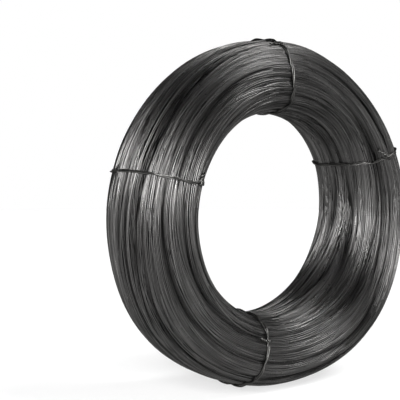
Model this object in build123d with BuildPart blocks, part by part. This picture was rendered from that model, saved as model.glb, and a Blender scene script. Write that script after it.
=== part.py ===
"""Coil of drawn and annealed steel wire, standing on its rim and bound by four doubled wire ties.

The coil's axis lies along Y, its seen face looks towards -Y, and it stands on Z = 0 under its axis.
Ring angles run from +X towards +Z about the axis. A section of the bundle is drawn with X along the
outward radius and Y along the axis. Sizes are in millimetres and degrees.
"""

from build123d import *
from math import atan2, cos, degrees, radians, sin
import os

# The wound bundle of turns
coil_outer_diameter = 450.0
coil_bore_diameter = 260.0
coil_width = 128.0
section_squareness = 2.4  # exponent of the section's superellipse, where 2 would be an ellipse

# The ropes of turns that stand out all round the section
rope_count = 12
rope_radius = 26.0  # from a rope's centre to each of its flats
rope_sides = 8

# The wire, and the ties made of the same wire doubled
wire_diameter = 2.0
wire_sides = 8
tie_seat_clearance = 0.03  # between a tie and the crests it is pulled tight on

# The twisted tail that locks each tie
tail_twist_per_length = 22.0  # degrees for each millimetre
tail_lift_angle = 8.0  # how far a tail stands off the turns
tail_lengths = {"tie_top": 22.0, "tie_left": 9.0, "tie_bottom": 12.0, "tie_right": 15.0}

# Where each tie crosses the ring, which rope its tail lies on, counted from the rim towards +Y, and
# which way round the ring the tail points
tie_ring_angles = {"tie_top": 92.5, "tie_left": 164.5, "tie_bottom": 254.0, "tie_right": 23.5}
tail_rope_counts = {"tie_top": 11, "tie_left": 8, "tie_bottom": 8, "tie_right": 9}
tail_way_signs = {"tie_top": 1, "tie_left": -1, "tie_bottom": -1, "tie_right": 1}

axis_height = coil_outer_diameter / 2
mean_radius = (coil_outer_diameter + coil_bore_diameter) / 4
wire_radius = wire_diameter / 2


def radial_plane(ring_angle):
    """Plane through the coil's axis, with X along the radius, Y along the axis and Z along the turns."""
    c, s = cos(radians(ring_angle)), sin(radians(ring_angle))
    return Plane(origin=(0, 0, axis_height), x_dir=(c, 0, s), z_dir=(-s, 0, c))


def crest_rise(off_facing):
    """How far a rope reaches from its centre in a direction this far off the way its crest faces."""
    half_side = 180 / rope_sides
    off_flat = (off_facing + half_side) % (2 * half_side) - half_side
    return rope_radius / cos(radians(half_side)) * cos(radians(half_side - abs(off_flat)))


# Each rope's place on a superellipse one unit wide and high, and the way its flat crest faces
unit_points = []
for k in range(rope_count):
    c, s = cos(radians(360 * k / rope_count)), sin(radians(360 * k / rope_count))
    reach = (abs(c) ** section_squareness + abs(s) ** section_squareness) ** (-1 / section_squareness)
    slope_x = abs(c) ** (section_squareness - 1) * (1 if c > 0 else -1)
    slope_y = abs(s) ** (section_squareness - 1) * (1 if s > 0 else -1)
    unit_points.append((reach * c, reach * s, degrees(atan2(slope_y, slope_x))))

# The superellipse is stretched until the first rope to get there touches the outer diameter and the width
radial_half = (coil_outer_diameter - coil_bore_diameter) / 4
rim_ropes = [(x, facing) for x, y, facing in unit_points if x > 0.5]
face_ropes = [(y, facing) for x, y, facing in unit_points if y > 0.5]
radial_reach = min((radial_half - crest_rise(facing)) / x for x, facing in rim_ropes)
axial_reach = min((coil_width / 2 - crest_rise(90 - facing)) / y for y, facing in face_ropes)
rope_places = [
    Location((mean_radius + radial_reach * x, axial_reach * y), facing)
    for x, y, facing in unit_points
]

# The bundle: ropes of turns about a solid heart, turned about the axis
with BuildPart() as wire_coil:
    with BuildSketch(radial_plane(0)) as bundle_section:
        with BuildLine():
            Polyline(*[place.position for place in rope_places], close=True)
        make_face()
        with Locations(*rope_places):
            RegularPolygon(rope_radius, rope_sides, major_radius=False, rotation=180 / rope_sides)
    revolve(axis=Axis((0, 0, axis_height), (0, 1, 0)))
wire_coil.part.label = "wire_coil"

# The line a tie takes round the section, pulled taut from crest to crest
with BuildSketch(Plane.XY) as taut_section:
    with Locations(*rope_places):
        RegularPolygon(rope_radius, rope_sides, major_radius=False, rotation=180 / rope_sides)
    make_hull(mode=Mode.REPLACE)
    offset(amount=wire_radius + tie_seat_clearance, kind=Kind.INTERSECTION)
taut_line = taut_section.sketch.face().outer_wire()


def wire_pair(plane):
    """Section of two wires side by side along the plane's X."""
    with BuildSketch(plane) as pair:
        with GridLocations(wire_diameter, 0, 2, 1):
            RegularPolygon(wire_radius, wire_sides, major_radius=False, rotation=180 / wire_sides)
    return pair.sketch.face()


def make_tie(name):
    """A doubled strand pulled tight round the section and locked by a twisted tail along the turns."""
    across = radial_plane(tie_ring_angles[name])
    belt = across.from_local_coords(taut_line)
    tail_rope = rope_places[tail_rope_counts[name]]
    facing = radians(tail_rope.orientation.Z)
    outward = across.x_dir * cos(facing) + across.y_dir * sin(facing)
    crest = across.from_local_coords(tail_rope.position) + outward * rope_radius
    lift = radians(tail_lift_angle)
    tail_way = across.z_dir * (tail_way_signs[name] * cos(lift)) + outward * sin(lift)
    tail_root = crest + outward * (wire_diameter + 2 * tie_seat_clearance)
    tail_length = tail_lengths[name]
    with BuildPart() as tie:
        add(wire_pair(Plane(origin=belt @ 0, x_dir=across.z_dir, z_dir=belt % 0)))
        sweep(path=belt, transition=Transition.RIGHT)
        add(
            Solid.extrude_linear_with_rotation(
                wire_pair(Plane(origin=tail_root, x_dir=outward, z_dir=tail_way)),
                tail_root,
                tail_way * tail_length,
                tail_twist_per_length * tail_length,
            )
        )
    tie.part.label = name
    return tie


ties = {name: make_tie(name) for name in tie_ring_angles}

os.makedirs("parts", exist_ok=True)
export_step(wire_coil.part, "parts/wire_coil.step")
for name, tie in ties.items():
    export_step(tie.part, f"parts/{name}.step")
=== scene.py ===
"""Looks of the coil of annealed wire: its turns as single wires, its ties, its finish, light and camera.

A place on the bundle is given by its ring angle about the coil's axis and by two numbers in the section
there: the share of the way round the section's outline, and the depth below that outline. Share 0 is the
rim, 0.25 the far end, 0.5 the bore and 0.75 the near end.
"""

import math

import bpy
import numpy as np
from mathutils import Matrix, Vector


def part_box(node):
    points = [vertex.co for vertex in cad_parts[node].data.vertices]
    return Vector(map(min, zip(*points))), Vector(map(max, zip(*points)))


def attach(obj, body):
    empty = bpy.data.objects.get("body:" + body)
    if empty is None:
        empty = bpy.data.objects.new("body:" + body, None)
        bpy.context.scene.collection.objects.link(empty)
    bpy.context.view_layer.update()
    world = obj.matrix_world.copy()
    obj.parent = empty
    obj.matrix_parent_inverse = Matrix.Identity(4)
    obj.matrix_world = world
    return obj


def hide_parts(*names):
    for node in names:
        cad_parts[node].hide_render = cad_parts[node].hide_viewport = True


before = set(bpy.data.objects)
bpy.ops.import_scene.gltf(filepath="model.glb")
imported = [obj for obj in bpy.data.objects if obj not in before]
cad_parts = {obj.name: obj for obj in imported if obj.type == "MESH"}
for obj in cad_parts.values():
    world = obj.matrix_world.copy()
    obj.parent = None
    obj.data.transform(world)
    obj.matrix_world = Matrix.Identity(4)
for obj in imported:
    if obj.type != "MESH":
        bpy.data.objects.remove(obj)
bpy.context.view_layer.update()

MM = 0.001
RNG = np.random.default_rng(7)

# The ring, read from the frame
COIL_NODE = "wire_coil"
COIL_LOW, COIL_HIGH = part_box(COIL_NODE)
COIL_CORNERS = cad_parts[COIL_NODE].data.vertices
CENTRE = (COIL_LOW + COIL_HIGH) / 2
OUTER_RADIUS = (COIL_HIGH.x - COIL_LOW.x) / 2
HALF_WIDTH = (COIL_HIGH.y - COIL_LOW.y) / 2
BORE_RADIUS = min(math.hypot(v.co.x - CENTRE.x, v.co.z - CENTRE.z) for v in COIL_CORNERS)
MEAN_RADIUS = (OUTER_RADIUS + BORE_RADIUS) / 2
HALF_DEPTH = (OUTER_RADIUS - BORE_RADIUS) / 2
SQUARENESS = 2.4  # exponent of the section's superellipse

# The wires that are modelled one by one: the outer layers of the bundle
WIRE_RADIUS = 1.0 * MM
WIRE_SIDES = 5
WIRE_COUNT = 600
SLICES = 132
SLICE_ANGLES = np.linspace(0, 2 * np.pi, SLICES, endpoint=False)
LONG_WAVES, WAVES = (1, 2), (1, 2, 3)  # how many go round the ring
SHELL_DEPTH = 9.0 * MM
WIRE_PIECES = 5
START_DEPTHS = (1, 9)  # in millimetres
WANDER = 1.4 * MM
RISE_AND_FALL = 0.9 * MM

# Flat strips of a few wires that wander over the others
STRAY_STRIPS = 20
STRIP_WIRES = 5
STRIP_PITCH = 2.1  # in wire radii
STRIP_DEPTH = 0.3 * MM
STRIP_WANDER = 13 * MM
STRIP_RISE_AND_FALL = 2.5 * MM

# How the wires are pushed apart: rounds, how often and how far away other wires are looked for and at how
# many of the slices, how much of an overlap is taken out in a round, how far a wire rises towards the skin
# in it, and how stiff the wires are then and at the end
SETTLING_ROUNDS = 100
ROUNDS_TO_A_SEARCH = 12
SEARCH_REACH = 4.5 * WIRE_RADIUS
SLICES_TO_A_LOOK = 3
PUSH = 1.4
RISE = 0.05 * MM
STIFFNESS, STIFFENING_PASSES = 0.4, 2
LAST_STIFFNESS, LAST_PASSES = 0.5, 12

# The main grooves on the seen side, as the photograph shows them: ring angle in degrees, share of the way
# round the outline, and depth in millimetres
SEEN_GROOVES = [
    [(280, 0.425, 3), (326, 0.431, 6), (340, 0.456, 8), (0, 0.485, 8), (12, 0.492, 6), (40, 0.485, 3),
     (120, 0.450, 2), (200, 0.440, 2)],
    [(276, 0.515, 5), (297, 0.514, 6), (318, 0.539, 7), (334, 0.547, 5), (0, 0.535, 3), (60, 0.530, 3),
     (120, 0.540, 3), (200, 0.530, 3), (240, 0.520, 4)],
    [(320, 0.600, 2), (344, 0.583, 8), (359, 0.569, 9), (12, 0.553, 7), (30, 0.570, 1), (90, 0.620, 2),
     (150, 0.620, 3), (210, 0.620, 3), (270, 0.610, 3)],
    [(0, 0.680, 4), (36, 0.683, 4), (53, 0.688, 4), (70, 0.713, 4), (90, 0.733, 5), (115, 0.765, 4),
     (132, 0.757, 4), (156, 0.744, 4), (180, 0.738, 4), (204, 0.724, 7), (225, 0.712, 5), (245, 0.700, 4),
     (264, 0.668, 4), (285, 0.668, 4), (305, 0.686, 7), (334, 0.683, 8)],
    [(0, 0.735, 4), (38, 0.718, 4), (59, 0.736, 4), (79, 0.771, 4), (94, 0.797, 3), (115, 0.825, 4),
     (150, 0.817, 5), (180, 0.815, 6), (200, 0.812, 7), (222, 0.796, 4), (240, 0.777, 4), (277, 0.774, 4),
     (300, 0.792, 6), (316, 0.778, 7), (330, 0.750, 6)],
    [(0, 0.895, 3), (30, 0.885, 3), (60, 0.880, 3), (90, 0.890, 3), (116, 0.893, 6), (138, 0.889, 8),
     (150, 0.889, 9), (160, 0.894, 9), (170, 0.917, 9), (180, 0.927, 9), (193, 0.939, 8), (204, 0.950, 5),
     (240, 0.945, 3), (280, 0.930, 3), (320, 0.910, 3)],
    [(0, 0.990, 3), (60, 0.980, 3), (110, 0.980, 3), (150, 0.983, 4), (156, 0.988, 6), (165, 0.990, 7),
     (172, 1.000, 7), (180, 1.014, 6), (188, 1.035, 4), (220, 1.040, 3), (270, 1.020, 3), (320, 1.000, 3)],
]
GROOVE_SMOOTHING = 10

# The other grooves: how many lie anywhere on the far side, where the near side's lie, and how many fine ones
# run between them. Then for the main and the fine ones their depth, how much it comes and goes, its limit,
# and how far a groove's flank reaches
FAR_GROOVES = 8
FAR_SIDE = (0.03, 0.40)
NEAR_GROOVES = np.array([0.49, 0.565, 0.65, 0.74, 0.825, 0.865, 0.955])
FINE_GROOVES = 36
MAIN_DEPTH, MAIN_CHANGE, MAIN_LIMIT, MAIN_FLANK = 3.6 * MM, 3.0 * MM, 7.0 * MM, 4.2 * MM
FINE_DEPTH, FINE_CHANGE, FINE_LIMIT, FINE_FLANK = 1.5 * MM, 2.0 * MM, 3.5 * MM, 2.4 * MM
FINE_WANDER = 2.0 * MM

# A groove deeper than this is an open gap between two groups of turns, which widens to each side by this
# share of the depth past it
OPEN_GAP_DEPTH = 5.0 * MM
GAP_WIDENING = 0.7
DEEPEST_GROOVE = 7.5 * MM

# A tie shuts the grooves under it by this share, and draws the bundle in
TIE_SHUTS, TIE_SHUTS_REACH = 0.5, 16 * MM
TIE_DRAWS_IN, TIE_DRAWS_IN_REACH = 1.2 * MM, 12 * MM

# The drift of the turns: slow swirls, each with its waves round the ring, its waves round the outline and
# its size in millimetres. They are at full size on the far side, and at a small share of it elsewhere
SWIRLS = [(1, 2, 9.0), (1, 3, 6.0), (2, 1, 6.0), (2, 4, 4.5), (3, 3, 3.0), (3, 6, 2.0), (4, 5, 1.8)]
SWIRL_PHASES = RNG.uniform(0, 2 * np.pi, len(SWIRLS))
NEAR_SWIRL = 0.12
SWIRLED_START, SWIRLED_PERIOD, SWIRLED_END = 0.02, 0.86, 0.45

# How far the bundle stands out of round, where it is slack between two ties or drawn in by them: ring angle
# of the middle in degrees, half the length in degrees, and how far the rim and the bore move outwards there
# in millimetres
SLACKS = [(317, 45, 12.0, 0.0), (318, 70, 0.0, -8.5), (47, 42, -7.0, 7.0), (218, 32, 4.0, 0.0)]

# Each tie: its ring angle in degrees, its lean along the ring towards the bore, and at what share of the
# outline its knot sits. Then its tail: which way round the ring it points, how far it turns from the ring
# towards the bore, its length in millimetres, and how many half turns its wires are twisted
TIES = {
    "tie_top": dict(angle=93.0, lean=-5.0, knot=0.88, way=1, turn=0.0, tail=16.0, twists=1),
    "tie_left": dict(angle=164.5, lean=-3.5, knot=0.69, way=-1, turn=0.0, tail=12.0, twists=3),
    "tie_bottom": dict(angle=254.5, lean=-2.0, knot=0.705, way=-1, turn=0.0, tail=16.0, twists=4),
    "tie_right": dict(angle=23.5, lean=4.0, knot=0.76, way=1, turn=40.0, tail=22.0, twists=4),
}
TIE_SIDES = 8
TIE_STEPS = 360
TIE_TONES = (0.3, 0.8)
HALF_TWIST = 34 * MM  # length of tie in which its two wires change sides

CROSSING_SOFTNESS = 0.02  # keeps the height of a wire smooth where the two change sides
LEAN_POWER = 3  # the higher, the closer a tie's lean keeps to the bore

# Heights and widths in a tie, in radii of its wire: the taut line stands over the middles of the outermost
# wires by less than two radii, as the tie bites in a little. A tail rises over the tie at its root, and its
# wires rise and part at its tip. A knot's wire goes up and down and to and fro round the tie
BEDDED_HEIGHT = 1.3
PAIR_SPACING = 1.03
TAIL_HEIGHT, ROOT_RISE, ROOT_REACH, TIP_RISE = 0.9, 2.0, 4, 0.9
TAIL_SPREAD, TIP_SPREAD = 1.02, 0.9
KNOT_HEIGHT, KNOT_RISE, KNOT_REACH = 1.5, 1.7, 2.9

# The share of the tail at which its wires part, the knot's turns, its half length and its shade
TIP_START = 0.8
KNOT_WINDS = 1.5
KNOT_HALF_LENGTH = 2.0 * MM
KNOT_TONE = 0.6
TAIL_STEPS, KNOT_STEPS = 60, 48

# A direction that no tail starts along
ASKEW = [0.31, 0.87, 0.22]

# The core under the modelled wires
CORE_AROUND, CORE_STEPS = 120, 144

# Finish: colour and roughness of the turns and of the ties, the tint of what glances off, and how shade and
# roughness change from wire to wire and along a wire. A wire's colour is also darkened by how deep it is
# sunk between others, which is painted shade standing in for the shade in the grooves
ANNEALED_COLOUR, ANNEALED_ROUGHNESS = (0.092, 0.0905, 0.089), 0.33
TIE_COLOUR, TIE_ROUGHNESS = (0.062, 0.061, 0.059), 0.38
EDGE_TINT = (0.35, 0.35, 0.35)
WIRE_SHADES = (0.62, 1.35)
STREAK_LANES = 900.0
STREAKS_TO_A_METRE = 22.0
STREAK_RANGE = (0.3, 0.7)
STREAK_SHADES = (0.6, 1.4)
STREAK_ROUGHNESS = 0.08
# Painted shade: the span of how far a wire is sunk, and how much its colour is darkened over it
SUNK_RANGE = (0.0, 0.6)
PAINTED_GROOVE_SHADES = (1.0, 0.3)
GRAIN_SCALE, GRAIN_STRENGTH, GRAIN_HEIGHT = 1400.0, 0.15, 0.2 * MM

# Camera, fitted to the outlines of the ring and its bore, its place in mean radii from the coil's centre
LENS = 90.0
SENSOR = 36.0
AZIMUTH = math.radians(-36.36)
ELEVATION = math.radians(3.31)
CAMERA_BACK, CAMERA_LEFT, CAMERA_DOWN = 7.3786, 0.4786, -0.0988

# Lamps: for each sun the direction from the coil, width in degrees and strength, and for the softbox its
# direction, distance and size in metres, and power
SUNS = {
    "key": ((-0.62, -0.76, 0.18), 20, 3.7),
    "side": ((0.9, -0.42, 0.02), 24, 0.8),
    "top": ((0.434, -0.434, 0.79), 28, 3.6),
}
SUN_DISTANCE = 2
SOFTBOX_WAY, SOFTBOX_DISTANCE, SOFTBOX_SIZE, SOFTBOX_POWER = (-0.76, -0.56, 0.30), 1.0, 0.5, 17.0
WORLD_LEVEL = 0.05

# Floor and walls, in metres. The glow is the share that the camera and the metal see as plain white, also
# where the coil's shadow falls
FLOOR_RADIUS, FLOOR_ALBEDO, FLOOR_GLOW = 9.0, 0.85, 0.65
WALL_ALBEDO, WALL_GLOW = 0.8, 1.0
STAGE_STEPS = 96

# Each wall: radius, height, and half its angle in degrees
WALLS = {"backdrop": (3.4, 1.35, 56), "horizon": (8.9, 0.8, 180)}


def superellipse_outline(steps=1440, fine_steps=20000):
    """Closed outline of the bundle's section: evenly spaced points, outward normals and length."""
    angles = np.linspace(0, 2 * np.pi, fine_steps, endpoint=False)
    c, s = np.cos(angles), np.sin(angles)
    reach = (abs(c) ** SQUARENESS + abs(s) ** SQUARENESS) ** (-1 / SQUARENESS)
    points = np.stack([HALF_DEPTH * reach * c, HALF_WIDTH * reach * s], 1)
    even, spots, lengths = evenly_spaced(points, steps)
    along = np.roll(even, -1, 0) - np.roll(even, 1, 0)
    normals = np.stack([along[:, 1], -along[:, 0]], 1)
    return even, normals / np.linalg.norm(normals, axis=1)[:, None], lengths[-1]


def evenly_spaced(points, steps):
    """A closed line's points at even steps, the lengths along it at those, and at the points given."""
    sides = np.linalg.norm(np.roll(points, -1, 0) - points, axis=1)
    lengths = np.concatenate([[0], np.cumsum(sides)])
    spots = np.linspace(0, lengths[-1], steps, endpoint=False)
    looped = np.vstack([points, points[:1]])
    even = np.stack([np.interp(spots, lengths, looped[:, k]) for k in range(2)], 1)
    return even, spots, lengths


OUTLINE, NORMALS, PERIMETER = superellipse_outline()
OUTLINE_RADIUS = np.linalg.norm(OUTLINE, axis=1)
OUTLINE_SLOPE = (OUTLINE * NORMALS).sum(1) / OUTLINE_RADIUS
OUTLINE_POLAR = np.unwrap(np.arctan2(OUTLINE[:, 1], OUTLINE[:, 0]))


def section_point(share, depth):
    """Section points at shares of the way round the outline and depths below it."""
    spots = share * len(OUTLINE)
    low = np.floor(spots).astype(int)
    part = (spots - low)[..., None]
    a, b = low % len(OUTLINE), (low + 1) % len(OUTLINE)
    normal = NORMALS[a] * (1 - part) + NORMALS[b] * part
    return OUTLINE[a] * (1 - part) + OUTLINE[b] * part - normal * depth[..., None]


def share_of(points):
    """Share of the way round the outline of each section point, by its direction from the middle."""
    polar = np.arctan2(points[..., 1], points[..., 0])
    start = OUTLINE_POLAR[0]
    ends = np.append(OUTLINE_POLAR, start + 2 * np.pi)
    return np.interp((polar - start) % (2 * np.pi) + start, ends, np.linspace(0, 1, len(ends)))


def outline_spot_and_depth(points):
    """For section points, the index of the outline point nearest by direction, and the depth below it."""
    index = (share_of(points) * len(OUTLINE)).astype(int) % len(OUTLINE)
    depth = (OUTLINE_RADIUS[index] - np.linalg.norm(points, axis=2)) * OUTLINE_SLOPE[index]
    return index, depth


def waves(count, orders, size):
    """Smooth random waves round the ring, one row for each of count, about size high."""
    rows = np.zeros((count, SLICES))
    for order in orders:
        phase = RNG.uniform(0, 2 * np.pi, (count, 1))
        height = RNG.normal(0, size / math.sqrt(len(orders)), (count, 1))
        rows += height * np.cos(order * SLICE_ANGLES[None, :] + phase)
    return rows


def round_ring(groove, column):
    """One column of a seen groove's table at every slice, smoothed."""
    angles = np.array([spot[0] for spot in groove], float)
    values = np.array([spot[column] for spot in groove], float)
    order = np.argsort(angles)
    row = np.interp(np.degrees(SLICE_ANGLES), angles[order], values[order], period=360)
    for _ in range(GROOVE_SMOOTHING):
        row = (np.roll(row, 1) + 2 * row + np.roll(row, -1)) / 4
    return row


GUIDES = np.array([round_ring(groove, 1) for groove in SEEN_GROOVES])
GUIDE_DEPTHS = np.array([round_ring(groove, 2) for groove in SEEN_GROOVES]) * MM
GUIDE_SHARES = GUIDES.mean(1)


def drifted(share):
    """Where wires that start at these shares of the outline lie at each slice."""
    starts = np.concatenate([GUIDE_SHARES - 1, GUIDE_SHARES, GUIDE_SHARES + 1])
    guides = np.vstack([GUIDES - 1, GUIDES, GUIDES + 1])
    share = np.asarray(share, float) % 1
    moved = np.stack([np.interp(share, starts, guides[:, m]) for m in range(SLICES)], 1)
    far_side = np.clip(np.sin(2 * np.pi * (share - SWIRLED_START) / SWIRLED_PERIOD), 0, 1)
    swirl = NEAR_SWIRL + (1 - NEAR_SWIRL) * far_side * (share < SWIRLED_END)
    for (order, lobes, size), phase in zip(SWIRLS, SWIRL_PHASES):
        angle = order * SLICE_ANGLES[None, :] + 2 * np.pi * lobes * share[:, None] + phase
        moved = moved + swirl[:, None] * size * MM / PERIMETER * np.cos(angle)
    return moved


def near_tie(reach):
    """How near each slice is to a tie: 1 at a tie, falling off over reach."""
    nearness = np.zeros(SLICES)
    for tie in TIES.values():
        gap = (SLICE_ANGLES - math.radians(tie["angle"]) + np.pi) % (2 * np.pi) - np.pi
        nearness = np.maximum(nearness, np.exp(-((gap * MEAN_RADIUS / reach) ** 2)))
    return nearness


def groove_table():
    """Depth of the grooves between groups of turns, by slice and by share of the outline."""
    others = drifted(np.concatenate([RNG.uniform(*FAR_SIDE, FAR_GROOVES), NEAR_GROOVES]))
    other_depth = np.clip(MAIN_DEPTH + waves(len(others), WAVES, MAIN_CHANGE), 0, MAIN_LIMIT)
    main = np.vstack([GUIDES, others])
    main_depth = np.vstack([GUIDE_DEPTHS, other_depth])
    fine = drifted(RNG.uniform(0, 1, FINE_GROOVES)) + waves(FINE_GROOVES, LONG_WAVES, FINE_WANDER) / PERIMETER
    fine_depth = np.clip(FINE_DEPTH + waves(FINE_GROOVES, WAVES, FINE_CHANGE), 0, FINE_LIMIT)
    shares = np.arange(len(OUTLINE)) / len(OUTLINE)
    table = np.zeros((SLICES, len(OUTLINE)))
    for lines, depths, flank in ((main, main_depth, MAIN_FLANK), (fine, fine_depth, FINE_FLANK)):
        for line, depth in zip(lines, depths):
            away = abs((shares[None, :] - line[:, None] + 0.5) % 1 - 0.5) * PERIMETER
            open_gap = GAP_WIDENING * np.maximum(depth - OPEN_GAP_DEPTH, 0)
            side = np.maximum(away - open_gap[:, None], 0)
            table = np.maximum(table, np.minimum(depth, DEEPEST_GROOVE)[:, None] * np.exp(-side / flank))
    table *= 1 - TIE_SHUTS * near_tie(TIE_SHUTS_REACH)[:, None]
    return table + TIE_DRAWS_IN * near_tie(TIE_DRAWS_IN_REACH)[:, None]


def near_pairs(points, reach):
    """Pairs of wires that come within reach of each other at some slice."""
    near = np.zeros((len(points), len(points)), bool)
    for m in range(0, SLICES, SLICES_TO_A_LOOK):
        gap = points[:, None, m] - points[None, :, m]
        near |= (gap ** 2).sum(2) < reach ** 2
    first, second = np.nonzero(np.triu(near, 1))
    return first, second


def summed(values, owners, count):
    """Values added up by owner, where owners are sorted."""
    total = np.zeros((count,) + values.shape[1:], values.dtype)
    present, starts = np.unique(owners, return_index=True)
    total[present] = np.add.reduceat(values, starts, axis=0)
    return total


def straightened(points, stiffness, passes):
    """The wires with each point drawn towards the middle of its neighbours on the same wire."""
    for _ in range(passes):
        points += stiffness * ((np.roll(points, 1, 1) + np.roll(points, -1, 1)) / 2 - points)
    return points


def settled(points, grooves):
    """The wires pushed apart over a set number of rounds, kept within the skin and round the core."""
    slices = np.arange(SLICES)[None, :]
    count = len(points)
    points = points.astype(np.float32)
    for turn in range(SETTLING_ROUNDS):
        if turn % ROUNDS_TO_A_SEARCH == 0:
            first, second = near_pairs(points, SEARCH_REACH)
            order = np.argsort(second, kind="stable")
            others = second[order]
        gap = points[first] - points[second]
        distance = np.sqrt((gap ** 2).sum(2)) + 1e-9
        overlap = np.maximum(2 * WIRE_RADIUS - distance, 0)
        push = gap * (overlap / distance / 2)[..., None]
        touching = (overlap > 0).astype(np.float32)
        moved = summed(push, first, count) - summed(push[order], others, count)
        touches = summed(touching, first, count) + summed(touching[order], others, count)
        points = points + PUSH * moved / np.maximum(touches, 1)[..., None]
        points = straightened(points, STIFFNESS, STIFFENING_PASSES)
        index, depth = outline_spot_and_depth(points)
        highest = WIRE_RADIUS + grooves[slices, index]
        wanted = np.clip(depth - RISE, highest, np.maximum(SHELL_DEPTH, highest))
        points -= NORMALS[index] * (wanted - depth)[..., None]
    return straightened(points, LAST_STIFFNESS, LAST_PASSES)


def sunk_share(points):
    """How far section points lie below the skin: 0 at the outermost wires, 1 at the core. The material
    darkens wires by it as painted shade.
    """
    depth = outline_spot_and_depth(points)[1]
    return np.clip((depth - WIRE_RADIUS) / (SHELL_DEPTH - WIRE_RADIUS), 0, 1)


def wire_routes():
    """Section points of every wire at every slice."""
    share = np.sort(RNG.uniform(0, 1, WIRE_COUNT))
    route = drifted(share) + waves(WIRE_COUNT, WAVES, WANDER) / PERIMETER
    depth = RNG.uniform(*START_DEPTHS, (WIRE_COUNT, 1)) * MM + waves(WIRE_COUNT, WAVES, RISE_AND_FALL)
    side_by_side = (np.arange(STRIP_WIRES) * STRIP_PITCH * WIRE_RADIUS)[:, None]
    for _ in range(STRAY_STRIPS):
        start = RNG.integers(0, WIRE_COUNT - STRIP_WIRES)
        strip = slice(start, start + STRIP_WIRES)
        route[strip] = route[start] + (side_by_side + waves(1, LONG_WAVES, STRIP_WANDER)) / PERIMETER
        depth[strip] = STRIP_DEPTH + waves(1, WAVES, STRIP_RISE_AND_FALL)
    return settled(section_point(route % 1, depth), groove_table())


def slackened(radius, angles):
    """Radii of points with the bundle's slack and drawn-in stretches added."""
    from_bore = np.clip((radius - BORE_RADIUS) / (OUTER_RADIUS - BORE_RADIUS), 0, 1)
    for middle, half_length, rim, bore in SLACKS:
        off = abs((angles - math.radians(middle) + np.pi) % (2 * np.pi) - np.pi)
        share = np.cos(np.pi / 2 * np.minimum(off / math.radians(half_length), 1)) ** 2
        radius = radius + share * (rim * from_bore + bore * (1 - from_bore)) * MM
    return radius


def in_ring(points, angles):
    """Places in the row frame of section points at ring angles."""
    radius = slackened(MEAN_RADIUS + points[..., 0], angles)
    x, z = CENTRE.x + radius * np.cos(angles), CENTRE.z + radius * np.sin(angles)
    return np.stack([x, np.broadcast_to(CENTRE.y + points[..., 1], x.shape), z], -1)


def add_object(name, data):
    """An object in the scene, of this name."""
    made = bpy.data.objects.new(name, data)
    bpy.context.scene.collection.objects.link(made)
    return made


def add_mesh(name, vertices, faces):
    """An object in the scene, of these corners and faces."""
    mesh = bpy.data.meshes.new(name)
    mesh.from_pydata(vertices, [], faces)
    return add_object(name, mesh)


def add_attribute(piece, name, values):
    """A number for each corner of the piece, which its material reads."""
    data = piece.data.attributes.new(name, "FLOAT", "POINT").data
    data.foreach_set("value", values.astype(np.float32))


def ring_starts(along, closed):
    """Directions square to each wire, from which its rings of corners start, without twisting about it."""
    if closed:
        across = np.broadcast_to(np.array([0.0, 1.0, 0.0]), along.shape)
        square = across - along * (across * along).sum(2)[..., None]
        return square / np.linalg.norm(square, axis=2)[..., None]
    starts = np.zeros_like(along)
    carried = np.cross(along[:, 0], ASKEW)
    for m in range(along.shape[1]):
        ahead = carried - along[:, m] * (carried * along[:, m]).sum(1)[:, None]
        carried = ahead / np.linalg.norm(ahead, axis=1)[:, None]
        starts[:, m] = carried
    return starts


def tubes(name, routes, radius, sides, closed, tones, sunk=None):
    """One piece of round wires along routes, an array of wires by steps by three."""
    count, steps, _ = routes.shape
    if closed:
        along = np.roll(routes, -1, 1) - np.roll(routes, 1, 1)
    else:
        along = np.gradient(routes, axis=1)
    along /= np.linalg.norm(along, axis=2)[..., None]
    start = ring_starts(along, closed)
    out = np.cross(along, start)
    turn = (np.arange(sides) * 2 * np.pi / sides)[:, None]
    ring = (start[:, :, None] * np.cos(turn) + out[:, :, None] * np.sin(turn)) * radius
    vertices = (routes[:, :, None] + ring).reshape(-1, 3)

    spans = steps if closed else steps - 1
    w, m, k = np.meshgrid(np.arange(count), np.arange(spans), np.arange(sides), indexing="ij")
    after, beside = (m + 1) % steps, (k + 1) % sides
    corners = [(m, k), (m, beside), (after, beside), (after, k)]
    quads = np.stack([(w * steps + step) * sides + side for step, side in corners], -1).reshape(-1, 4)
    faces = quads.tolist()
    if not closed:
        cap = np.arange(sides)
        for wire in range(count):
            faces.append((wire * steps * sides + cap[::-1]).tolist())
            faces.append((((wire + 1) * steps - 1) * sides + cap).tolist())
    piece = add_mesh(name, vertices.tolist(), faces)
    piece.data.polygons.foreach_set("use_smooth", [len(face) == 4 for face in faces])

    steps_along = np.linalg.norm(np.diff(routes, axis=1), axis=2)
    lengths = np.concatenate([np.zeros((count, 1)), steps_along], 1).cumsum(1)
    add_attribute(piece, "tone", np.repeat(tones, steps * sides))
    add_attribute(piece, "distance", np.repeat(lengths.ravel(), sides))
    # How deep each wire lies, which the material turns into painted shade
    if sunk is not None:
        add_attribute(piece, "sunk", np.repeat(sunk.ravel(), sides))
    return piece


def node(tree, kind, inputs=None, **values):
    """A shader node with its properties set, and its inputs set or linked."""
    made = tree.nodes.new(kind)
    for key, value in values.items():
        setattr(made, key, value)
    for key, value in (inputs or {}).items():
        if isinstance(value, bpy.types.NodeSocket):
            tree.links.new(value, made.inputs[key])
        else:
            made.inputs[key].default_value = value
    return made


def attribute(tree, name):
    return node(tree, "ShaderNodeAttribute", attribute_name=name).outputs["Fac"]


def product(tree, a, b):
    return node(tree, "ShaderNodeMath", {0: a, 1: b}, operation="MULTIPLY").outputs[0]


def ranged(tree, value, start, end):
    """The value mapped from the span start to the span end."""
    ends = {"From Min": start[0], "From Max": start[1], "To Min": end[0], "To Max": end[1]}
    return node(tree, "ShaderNodeMapRange", {"Value": value, **ends}).outputs[0]


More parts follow.
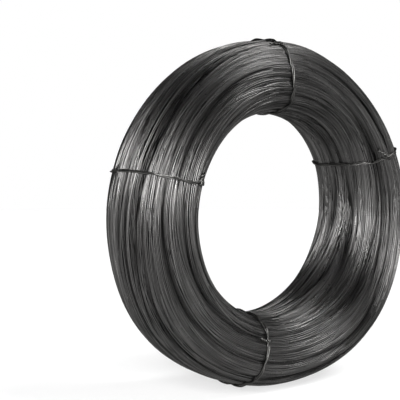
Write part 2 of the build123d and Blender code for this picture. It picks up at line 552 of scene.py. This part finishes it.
def wire_material(name, colour, roughness):
    """Dark oxide skin of annealed wire: each wire a little lighter or darker, with streaks along it, and
    painted shade that darkens wires sunk deep between others.
    """
    material = bpy.data.materials.new(name)
    material.use_nodes = True
    tree = material.node_tree
    shader = tree.nodes["Principled BSDF"]
    shader.inputs["Metallic"].default_value = 1.0
    shader.inputs["Specular Tint"].default_value = (*EDGE_TINT, 1)

    # The streaks run along each wire, and its tone sets its own lane of the noise
    tone = attribute(tree, "tone")
    lane = product(tree, tone, STREAK_LANES)
    run = product(tree, attribute(tree, "distance"), STREAKS_TO_A_METRE)
    spot = node(tree, "ShaderNodeCombineXYZ", {"X": lane, "Y": run}).outputs[0]
    noise = {"Vector": spot, "Scale": 1.0, "Detail": 3.0}
    streaks = node(tree, "ShaderNodeTexNoise", noise).outputs["Fac"]

    # Painted shade: wires that lie deep in a groove are made darker, standing in for the shade cast by the
    # wires around them
    wire_shade = ranged(tree, tone, (0.0, 1.0), WIRE_SHADES)
    streak_shade = ranged(tree, streaks, STREAK_RANGE, STREAK_SHADES)
    painted_groove_shade = ranged(tree, attribute(tree, "sunk"), SUNK_RANGE, PAINTED_GROOVE_SHADES)
    shade = product(tree, product(tree, wire_shade, streak_shade), painted_groove_shade)
    shaded = {0: 1.0, 6: (*colour, 1), 7: shade}
    tint = node(tree, "ShaderNodeMix", shaded, data_type="RGBA", blend_type="MULTIPLY").outputs[2]
    tree.links.new(tint, shader.inputs["Base Color"])

    ends = (roughness + STREAK_ROUGHNESS, roughness - STREAK_ROUGHNESS)
    tree.links.new(ranged(tree, streaks, STREAK_RANGE, ends), shader.inputs["Roughness"])
    grain = node(tree, "ShaderNodeTexNoise", {"Scale": GRAIN_SCALE}).outputs["Fac"]
    relief = {"Strength": GRAIN_STRENGTH, "Distance": GRAIN_HEIGHT, "Height": grain}
    tree.links.new(node(tree, "ShaderNodeBump", relief).outputs[0], shader.inputs["Normal"])
    return material


def dressed(piece, material, replaced):
    """The piece given its material and its body, with the CAD node that it stands for hidden."""
    piece.data.materials.append(material)
    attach(piece, "root")
    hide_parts(replaced)


def make_turns(routes, material):
    """The single wires, in a few pieces."""
    for k, chosen in enumerate(np.array_split(np.arange(len(routes)), WIRE_PIECES)):
        places = in_ring(routes[chosen], SLICE_ANGLES[None, :])
        tones = RNG.uniform(0, 1, len(chosen))
        # How deep each wire lies, which the material turns into painted shade
        sunk = sunk_share(routes[chosen])
        piece = tubes(f"turns_{k + 1}", places, WIRE_RADIUS, WIRE_SIDES, True, tones, sunk)
        dressed(piece, material, COIL_NODE)


def make_core(material):
    """The turns under the modelled ones, as one dark ring."""
    share = np.arange(CORE_AROUND) / CORE_AROUND
    line = section_point(share, np.full(CORE_AROUND, SHELL_DEPTH))
    places = in_ring(line[:, None], np.linspace(0, 2 * np.pi, CORE_STEPS, endpoint=False)[None, :])
    a, m = np.meshgrid(np.arange(CORE_AROUND), np.arange(CORE_STEPS), indexing="ij")
    b, n = (a + 1) % CORE_AROUND, (m + 1) % CORE_STEPS
    corners = [(a, m), (a, n), (b, n), (b, m)]
    quads = np.stack([spot * CORE_STEPS + step for spot, step in corners], -1).reshape(-1, 4)
    piece = add_mesh("inner_turns", places.reshape(-1, 3).tolist(), quads.tolist())
    piece.data.polygons.foreach_set("use_smooth", np.ones(len(quads), bool))
    dressed(piece, material, COIL_NODE)


def sections_at(routes, angle):
    """Section points of all the wires at one ring angle."""
    spot = (angle % (2 * np.pi)) / (2 * np.pi) * SLICES
    low = int(spot)
    part = spot - low
    return routes[:, low % SLICES] * (1 - part) + routes[:, (low + 1) % SLICES] * part


def taut_line(routes, angle, lean):
    """Line of a wire pulled taut round the bundle: section points, outward normals and ring angles."""
    facing = np.linspace(0, 2 * np.pi, 2 * TIE_STEPS, endpoint=False)
    ways = np.stack([np.cos(facing), np.sin(facing)], 1)
    ring_angles = leaned(angle, lean, facing)
    support = np.array([(sections_at(routes, a) @ way).max() for a, way in zip(ring_angles, ways)])
    support += BEDDED_HEIGHT * WIRE_RADIUS
    slope = (np.roll(support, -1) - np.roll(support, 1)) / (facing[2] - facing[0])
    crossways = np.stack([-np.sin(facing), np.cos(facing)], 1)
    points = support[:, None] * ways + slope[:, None] * crossways
    even, spots, lengths = evenly_spaced(points, TIE_STEPS)
    even_facing = np.interp(spots, lengths, np.append(facing, 2 * np.pi))
    normals = np.stack([np.cos(even_facing), np.sin(even_facing)], 1)
    return even, normals, leaned(angle, lean, even_facing), lengths[-1]


def leaned(angle, lean, facing):
    """Ring angles of a tie, which leans on its bore side, where its facing is half a turn."""
    return angle + lean * ((1 - np.cos(facing)) / 2) ** LEAN_POWER


def placed(points, normals, ring_angles, lift, shift):
    """Places on a line in the section, lifted off it and shifted along the turns."""
    lifted = points + normals * lift[:, None]
    radius = MEAN_RADIUS + lifted[:, 0]
    return in_ring(lifted, ring_angles + shift / radius)


def make_tie(name, routes, material):
    """Two wires laid side by side and loosely twisted, pulled taut, and locked by a twisted tail."""
    tie = TIES[name]
    r = WIRE_RADIUS
    angle, lean = math.radians(tie["angle"]), math.radians(tie["lean"])
    points, normals, ring_angles, length = taut_line(routes, angle, lean)
    along = np.arange(TIE_STEPS) / TIE_STEPS * length
    twists = round(length / HALF_TWIST)
    phase = 2 * np.pi * twists / 2 * along / length + RNG.uniform(0, np.pi)
    height = r * np.sqrt(np.sin(phase) ** 2 + CROSSING_SOFTNESS)
    pair = []
    for side in (-1, 1):
        lift = height + side * r * np.sin(phase)
        shift = side * PAIR_SPACING * r * np.cos(phase)
        pair.append(placed(points, normals, ring_angles, lift, shift))
    if twists % 2:
        # With an odd number of half turns each wire runs on into the other
        pair = [np.concatenate(pair)]
    tones = RNG.uniform(*TIE_TONES, len(pair))
    loops = tubes(name + "_loops", np.array(pair), r, TIE_SIDES, True, tones)
    dressed(loops, material, name)
    knot = int(np.argmin(abs((share_of(points) - tie["knot"] + 0.5) % 1 - 0.5)))
    make_tail(name, points, normals, ring_angles[knot], knot, material)
    make_knot(name, points[knot], normals[knot], ring_angles[knot], material)


def make_tail(name, points, normals, ring_angle, knot, material):
    """The tie's two ends, twisted together over the turns."""
    tie = TIES[name]
    r = WIRE_RADIUS
    turn = math.radians(tie["turn"])
    run = np.linspace(0, 1, TAIL_STEPS)
    away = run * tie["tail"] * MM
    # The tail keeps to the taut line's height, and passes over the tie at its root
    spots = knot - away * math.sin(turn) / np.linalg.norm(points[knot] - points[knot - 1])
    low = np.floor(spots).astype(int)
    part = (spots - low)[:, None]
    base = points[low % len(points)] * (1 - part) + points[(low + 1) % len(points)] * part
    root = np.exp(-((away / (ROOT_REACH * r)) ** 2))
    lift = r * (TAIL_HEIGHT + ROOT_RISE * root + TIP_RISE * run ** 2)
    out = normals[low % len(points)]
    aside = np.stack([-out[:, 1], out[:, 0]], 1)
    twist = np.pi * tie["twists"] * run
    tip = np.clip((run - TIP_START) / (1 - TIP_START), 0, 1) ** 2
    spread = r * (TAIL_SPREAD + TIP_SPREAD * tip)
    wires = []
    for side in (-1, 1):
        up = lift + spread * (side * np.sin(twist) + abs(np.sin(twist)))
        across = side * spread * np.cos(twist)
        section = base + out * up[:, None] + aside * (across * math.cos(turn))[:, None]
        ways = tie["way"] * away * math.cos(turn) + across * math.sin(turn)
        wires.append(in_ring(section, ring_angle + ways / (MEAN_RADIUS + base[:, 0])))
    tones = RNG.uniform(*TIE_TONES, 2)
    tail = tubes(name + "_tail", np.array(wires), r, TIE_SIDES, False, tones)
    dressed(tail, material, name)


def make_knot(name, point, out, ring_angle, material):
    """One end of the tie wound round it, where its tail starts."""
    r = WIRE_RADIUS
    aside = np.array([-out[1], out[0]])
    wind = np.linspace(0, 2 * np.pi * KNOT_WINDS, KNOT_STEPS)
    spot = np.linspace(-KNOT_HALF_LENGTH, KNOT_HALF_LENGTH, KNOT_STEPS)
    up = KNOT_HEIGHT * r + KNOT_RISE * r * np.sin(wind)
    section = point + aside * spot[:, None] + out * up[:, None]
    wrap = in_ring(section, ring_angle + KNOT_REACH * r * np.cos(wind) / (MEAN_RADIUS + point[0]))
    knot = tubes(name + "_knot", wrap[None], r, TIE_SIDES, False, np.array([KNOT_TONE]))
    dressed(knot, material, name)


def add_camera():
    back = Vector((math.sin(AZIMUTH), -math.cos(AZIMUTH), math.tan(ELEVATION))).normalized()
    right = Vector((math.cos(AZIMUTH), math.sin(AZIMUTH), 0))
    up = back.cross(right)
    data = bpy.data.cameras.new("camera")
    data.lens = LENS
    data.sensor_width = SENSOR
    camera = add_object("camera", data)
    offset = CAMERA_BACK * back - CAMERA_LEFT * right - CAMERA_DOWN * up
    camera.location = CENTRE + MEAN_RADIUS * offset
    camera.rotation_euler = back.to_track_quat("Z", "Y").to_euler()
    bpy.context.scene.camera = camera


def add_lamp(data, way, distance, power):
    """A lamp that shines on the coil from a direction."""
    data.energy = power
    lamp = add_object(data.name, data)
    lamp.location = CENTRE + Vector(way).normalized() * distance
    lamp.rotation_euler = Vector(way).to_track_quat("Z", "Y").to_euler()


def add_light():
    for name, (way, width, strength) in SUNS.items():
        sun = bpy.data.lights.new(name, "SUN")
        sun.angle = math.radians(width)
        add_lamp(sun, way, SUN_DISTANCE, strength)
    softbox = bpy.data.lights.new("left", "AREA")
    softbox.size = SOFTBOX_SIZE
    add_lamp(softbox, SOFTBOX_WAY, SOFTBOX_DISTANCE, SOFTBOX_POWER)
    world = bpy.data.worlds.new("studio")
    bpy.context.scene.world = world
    world.use_nodes = True
    plain = world.node_tree.nodes["Background"]
    plain.inputs["Color"].default_value = (1, 1, 1, 1)
    plain.inputs["Strength"].default_value = WORLD_LEVEL


def seen_rays(tree):
    """1 for camera, glossy and transmission rays, and 0 for others."""
    path = node(tree, "ShaderNodeLightPath")
    seen = path.outputs["Is Camera Ray"]
    for kind in ("Is Glossy Ray", "Is Transmission Ray"):
        either = {0: seen, 1: path.outputs[kind]}
        seen = node(tree, "ShaderNodeMath", either, operation="MAXIMUM").outputs[0]
    return seen


def white_to_seen_rays(name, albedo, share):
    """Pale material, of which this share is plain white to the camera and to metal."""
    material = bpy.data.materials.new(name)
    material.use_nodes = True
    tree = material.node_tree
    shader = tree.nodes["Principled BSDF"]
    shader.inputs["Base Color"].default_value = (albedo, albedo, albedo, 1)
    shader.inputs["Roughness"].default_value = 1.0
    shader.inputs["Specular IOR Level"].default_value = 0.0
    white = node(tree, "ShaderNodeEmission", {"Strength": 1.0})
    ends = {0: product(tree, seen_rays(tree), share), 1: shader.outputs[0], 2: white.outputs[0]}
    mix = node(tree, "ShaderNodeMixShader", ends)
    tree.links.new(mix.outputs[0], tree.nodes["Material Output"].inputs["Surface"])
    return material


def circle_point(radius, angle, height):
    return radius * math.cos(angle), radius * math.sin(angle), height


def add_floor():
    turns = [2 * math.pi * k / STAGE_STEPS for k in range(STAGE_STEPS)]
    rim = [circle_point(FLOOR_RADIUS, turn, 0) for turn in turns]
    floor = add_mesh("floor", rim, [tuple(range(STAGE_STEPS))])
    floor.data.materials.append(white_to_seen_rays("floor", FLOOR_ALBEDO, FLOOR_GLOW))


def add_wall(name, radius, height, half_angle):
    """A white wall centred behind the coil, which the camera and the metal see as white."""
    away = math.pi / 2 + AZIMUTH
    half = math.radians(half_angle)
    turns = [away + half * (2 * k / STAGE_STEPS - 1) for k in range(STAGE_STEPS + 1)]
    corners = [circle_point(radius, turn, z) for z in (0, height) for turn in turns]
    upper = STAGE_STEPS + 1
    faces = [(k, k + 1, upper + k + 1, upper + k) for k in range(STAGE_STEPS)]
    wall = add_mesh(name, corners, faces)
    wall.visible_shadow = False
    wall.data.materials.append(white_to_seen_rays(name, WALL_ALBEDO, WALL_GLOW))


annealed = wire_material("annealed_wire", ANNEALED_COLOUR, ANNEALED_ROUGHNESS)
tie_finish = wire_material("tie_wire", TIE_COLOUR, TIE_ROUGHNESS)
routes = wire_routes()
make_turns(routes, annealed)
make_core(annealed)
for tie_name in TIES:
    make_tie(tie_name, routes, tie_finish)

add_camera()
add_light()
add_floor()
for wall_name, (radius, height, half_angle) in WALLS.items():
    add_wall(wall_name, radius, height, half_angle)
bpy.context.scene.view_settings.view_transform = "Standard"
